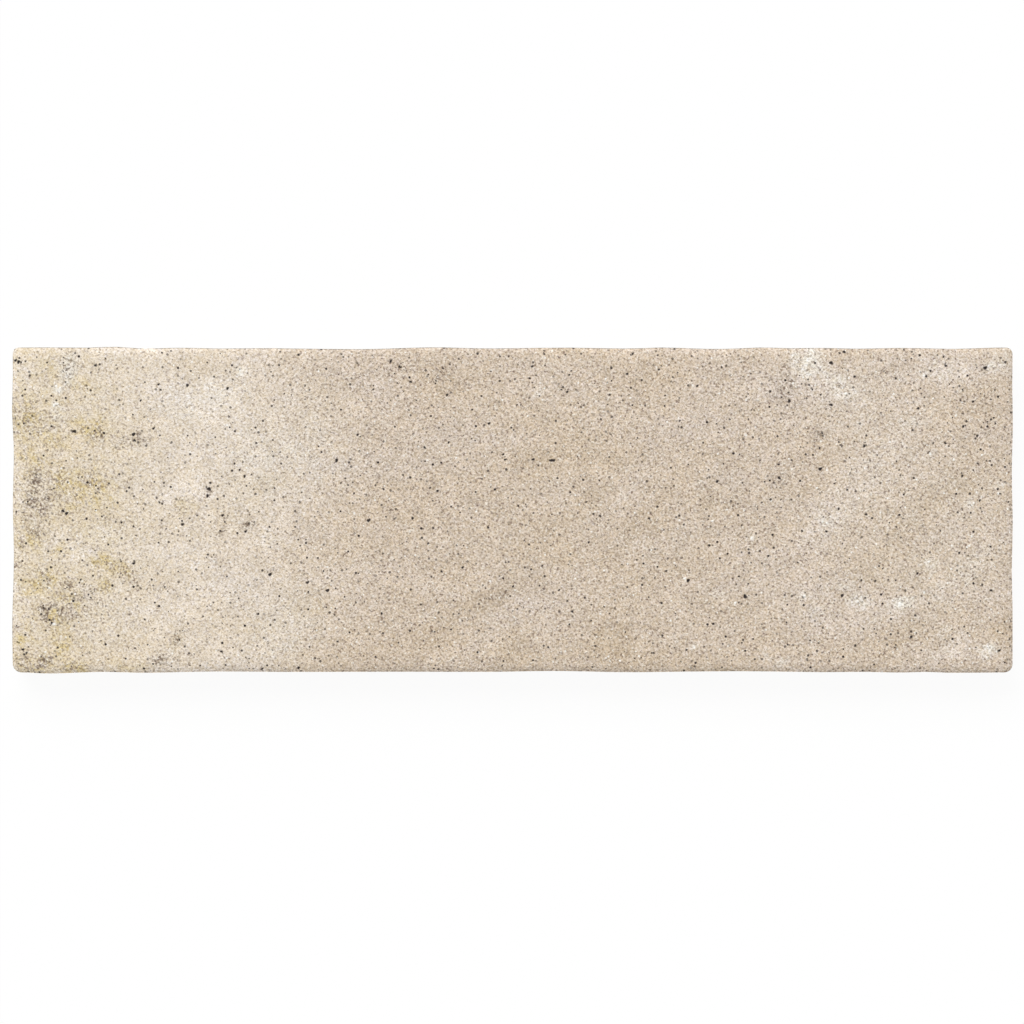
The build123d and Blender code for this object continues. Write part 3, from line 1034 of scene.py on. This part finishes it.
    def hang_sides(self, shell: Shell, rim: list[Edge], back: list[Edge]) -> None:
        """Draws the sides down from the face in rings and closes them onto the back.

        Args:
            shell: The shell, with its face and back.
            rim: The open edges round the face.
            back: The open edges round the back.
        """
        level = self.wall_height * MM
        for height in self.side_rings:
            made = bmesh.ops.extrude_edge_only(shell, edges=rim)["geom"]
            for vertex in (g for g in made if isinstance(g, bmesh.types.BMVert)):
                _, outward = self.form.wall(Vector((vertex.co.x, vertex.co.y, level)))
                side = self.form.side(Vector((vertex.co.x, vertex.co.y, height * MM)), outward)
                drawn = Vector((side.x, side.y, self.rub_stretch * side.z))
                rub = 0.5 + 0.5 * noise.noise(drawn / (self.rub_size * MM))
                vertex.co = side - outward * self.rub * rub * MM
            rim = [g for g in made if isinstance(g, Edge) and g.is_boundary]
        bmesh.ops.bridge_loops(shell, edges=rim + [e for e in back if e.is_valid])

    def unwrap(self, shell: Shell) -> None:
        """Lays the face, the back and the four sides out flat, with most room for the face.

        Args:
            shell: The closed shell.
        """
        layer = shell.loops.layers.uv.new("OFBake")
        low, size = self.form.low, self.form.high - self.form.low
        width = 1.0 - 2.0 * self.sheet_margin
        for face in shell.faces:
            height, normal = face.calc_center_median().z / size.z, face.normal
            if height > self.face_from:
                axes, (start, depth) = (0, 1), self.face_band
            elif height < self.back_to and abs(normal.z) > self.back_tilt:
                axes, (start, depth) = (0, 1), self.back_band
            elif abs(normal.y) > abs(normal.x):
                axes, (start, depth) = (0, 2), self.side_bands[normal.y > 0.0]
            else:
                axes, (start, depth) = (1, 2), self.end_bands[normal.x > 0.0]
            for loop in face.loops:
                along, up = ((loop.vert.co[k] - low[k]) / size[k] for k in axes)
                loop[layer].uv = (self.sheet_margin + width * along, start + depth * up)

    def paint(self, mesh: bpy.types.Mesh) -> None:
        """Writes how much of each weathering, and of the tone with its painted light and shade, lies at each
        vertex, and where the body is bare.

        Args:
            mesh: The finished mesh.
        """
        count = len(mesh.vertices)
        places = np.empty(count * 3)
        mesh.vertices.foreach_get("co", places)
        places = places.reshape(-1, 3) / MM
        # The vector noise would differ from run to run if it weren't seeded
        noise.seed_set(self.seed)
        shift = np.array([noise.noise_vector(Vector(p) / self.wander_size)[:2] for p in places]) * self.wander
        x, y = places[:, 0] + shift[:, 0], places[:, 1] + shift[:, 1]
        clumps = np.array([noise.noise(Vector(p) / self.clump_size) for p in places])
        half = self.form.half / MM
        # The outer rim is painted paler: partly edge wear, partly a painted highlight against the rim's
        # shading
        inset = np.minimum(half.x - abs(places[:, 0]), half.y - abs(places[:, 1]))
        worn_and_lit = np.clip(1.0 - inset / self.worn_and_lit_reach, 0.0, 1.0)
        for weather, rows in PATCHES.items():
            amount = sum(Dab(*row).spread(x, y) for row in rows)
            if weather in self.clumping:
                amount = amount * (1.0 + self.clumping[weather] * clumps)
            if weather is Weather.TONE_AND_PAINTED_LIGHT:
                amount = amount - self.worn_and_lit_edge * worn_and_lit
            mesh.attributes.new(weather.value, "FLOAT", "POINT").data.foreach_set("value", amount)
        ragged = np.array([noise.noise(Vector(p) / self.ragged_size) for p in places]) * self.ragged
        bare = np.clip((self.sand_line + ragged - places[:, 2]) / self.sand_fade, 0.0, 1.0)
        mesh.attributes.new("bare", "FLOAT", "POINT").data.foreach_set("value", bare)


@dataclass
class Studio:
    """A white floor, soft light from the upper left and a camera square above the face."""

    white: str = "#FFFFFF"
    key_turn: float = 111.0
    key_rise: float = 45.0
    key_share: float = 0.48
    key_softness: float = 40.0
    floor_size: float = 6.0
    floor_glow: float = 0.93
    lens: float = 200.0
    sensor: float = 36.0
    view_width: float = 204.72
    view_middle: tuple[float, float] = (-0.13, -0.4)

    def build(self) -> None:
        """Sets up the floor, light, surroundings and camera."""
        bpy.context.scene.view_settings.view_transform = "Standard"
        self.lay_floor()
        self.hang_key()
        self.surround()
        self.aim_camera()

    def seen(self, tree: Tree) -> Socket:
        """Tells rays that show the surroundings from those that only carry light.

        Args:
            tree: The nodes of the floor or the world.

        Returns:
            One for a camera, mirror or glass ray, and nothing for the rest.
        """
        path = add_node(tree, "LightPath")
        shown = path["Is Camera Ray"]
        for kind in ("Is Glossy Ray", "Is Transmission Ray"):
            shown = add_node(tree, "Math", (shown, path[kind]), operation="MAXIMUM")[0]
        return shown

    def lay_floor(self) -> None:
        """Lays the white floor that keeps a pale shadow."""
        shell = bmesh.new()
        bmesh.ops.create_grid(shell, x_segments=1, y_segments=1, size=self.floor_size / 2.0)
        mesh = bpy.data.meshes.new("floor")
        shell.to_mesh(mesh)
        shell.free()
        material = bpy.data.materials.new("white_paper_floor")
        material.use_nodes = True
        tree = material.node_tree
        tree.nodes.clear()
        white = linear(self.white)
        paper = add_node(tree, "BsdfDiffuse", {"Color": white})[0]
        glow = add_node(tree, "Emission", {"Color": white, "Strength": 1.0})[0]
        share = add_node(tree, "Math", (self.seen(tree), self.floor_glow), operation="MULTIPLY")[0]
        mixed = add_node(tree, "MixShader", (share, paper, glow))[0]
        add_node(tree, "OutputMaterial", {"Surface": mixed})
        mesh.materials.append(material)
        floor = bpy.data.objects.new("floor", mesh)
        bpy.context.scene.collection.objects.link(floor)

    def hang_key(self) -> None:
        """Hangs the soft key light, which gives its share of a plain level on a flat face."""
        lamp = bpy.data.lights.new("key", "SUN")
        lamp.angle = math.radians(self.key_softness)
        lamp.energy = self.key_share * math.pi / math.sin(math.radians(self.key_rise))
        light = bpy.data.objects.new("key", lamp)
        turn, rise = math.radians(self.key_turn), math.radians(self.key_rise)
        toward = Vector((math.cos(turn) * math.cos(rise), math.sin(turn) * math.cos(rise), math.sin(rise)))
        light.location = toward
        light.rotation_euler = toward.to_track_quat("Z", "Y").to_euler()
        bpy.context.scene.collection.objects.link(light)

    def surround(self) -> None:
        """Fills the rest of the level from all round, and shows white behind the floor."""
        world = bpy.data.worlds.new("studio")
        bpy.context.scene.world = world
        world.use_nodes = True
        tree = world.node_tree
        tree.nodes.clear()
        fill, plain = (
            add_node(tree, "Background", {"Color": linear(self.white), "Strength": strength})[0]
            for strength in (1.0 - self.key_share, 1.0)
        )
        mixed = add_node(tree, "MixShader", (self.seen(tree), fill, plain))[0]
        add_node(tree, "OutputWorld", {"Surface": mixed})

    def aim_camera(self) -> None:
        """Sets the camera square above the face, far off with a long lens."""
        data = bpy.data.cameras.new("camera")
        data.lens = self.lens
        data.sensor_width = self.sensor
        distance = self.view_width * MM * self.lens / self.sensor
        camera = bpy.data.objects.new("camera", data)
        x, y = self.view_middle
        camera.location = (x * MM, y * MM, cad_high.z + distance)
        bpy.context.scene.collection.objects.link(camera)
        bpy.context.scene.camera = camera


def main() -> None:
    """Builds the tile and its studio, and notes how many faces the piece has."""
    logging.basicConfig(level=logging.INFO, format="%(name)s: %(message)s")
    piece = TileBody().build(FiredClay().make())
    log.info("%s has %d faces", piece.name, len(piece.data.polygons))
    Studio().build()
    log.info("studio is set")


if __name__ == "__main__":
    main()
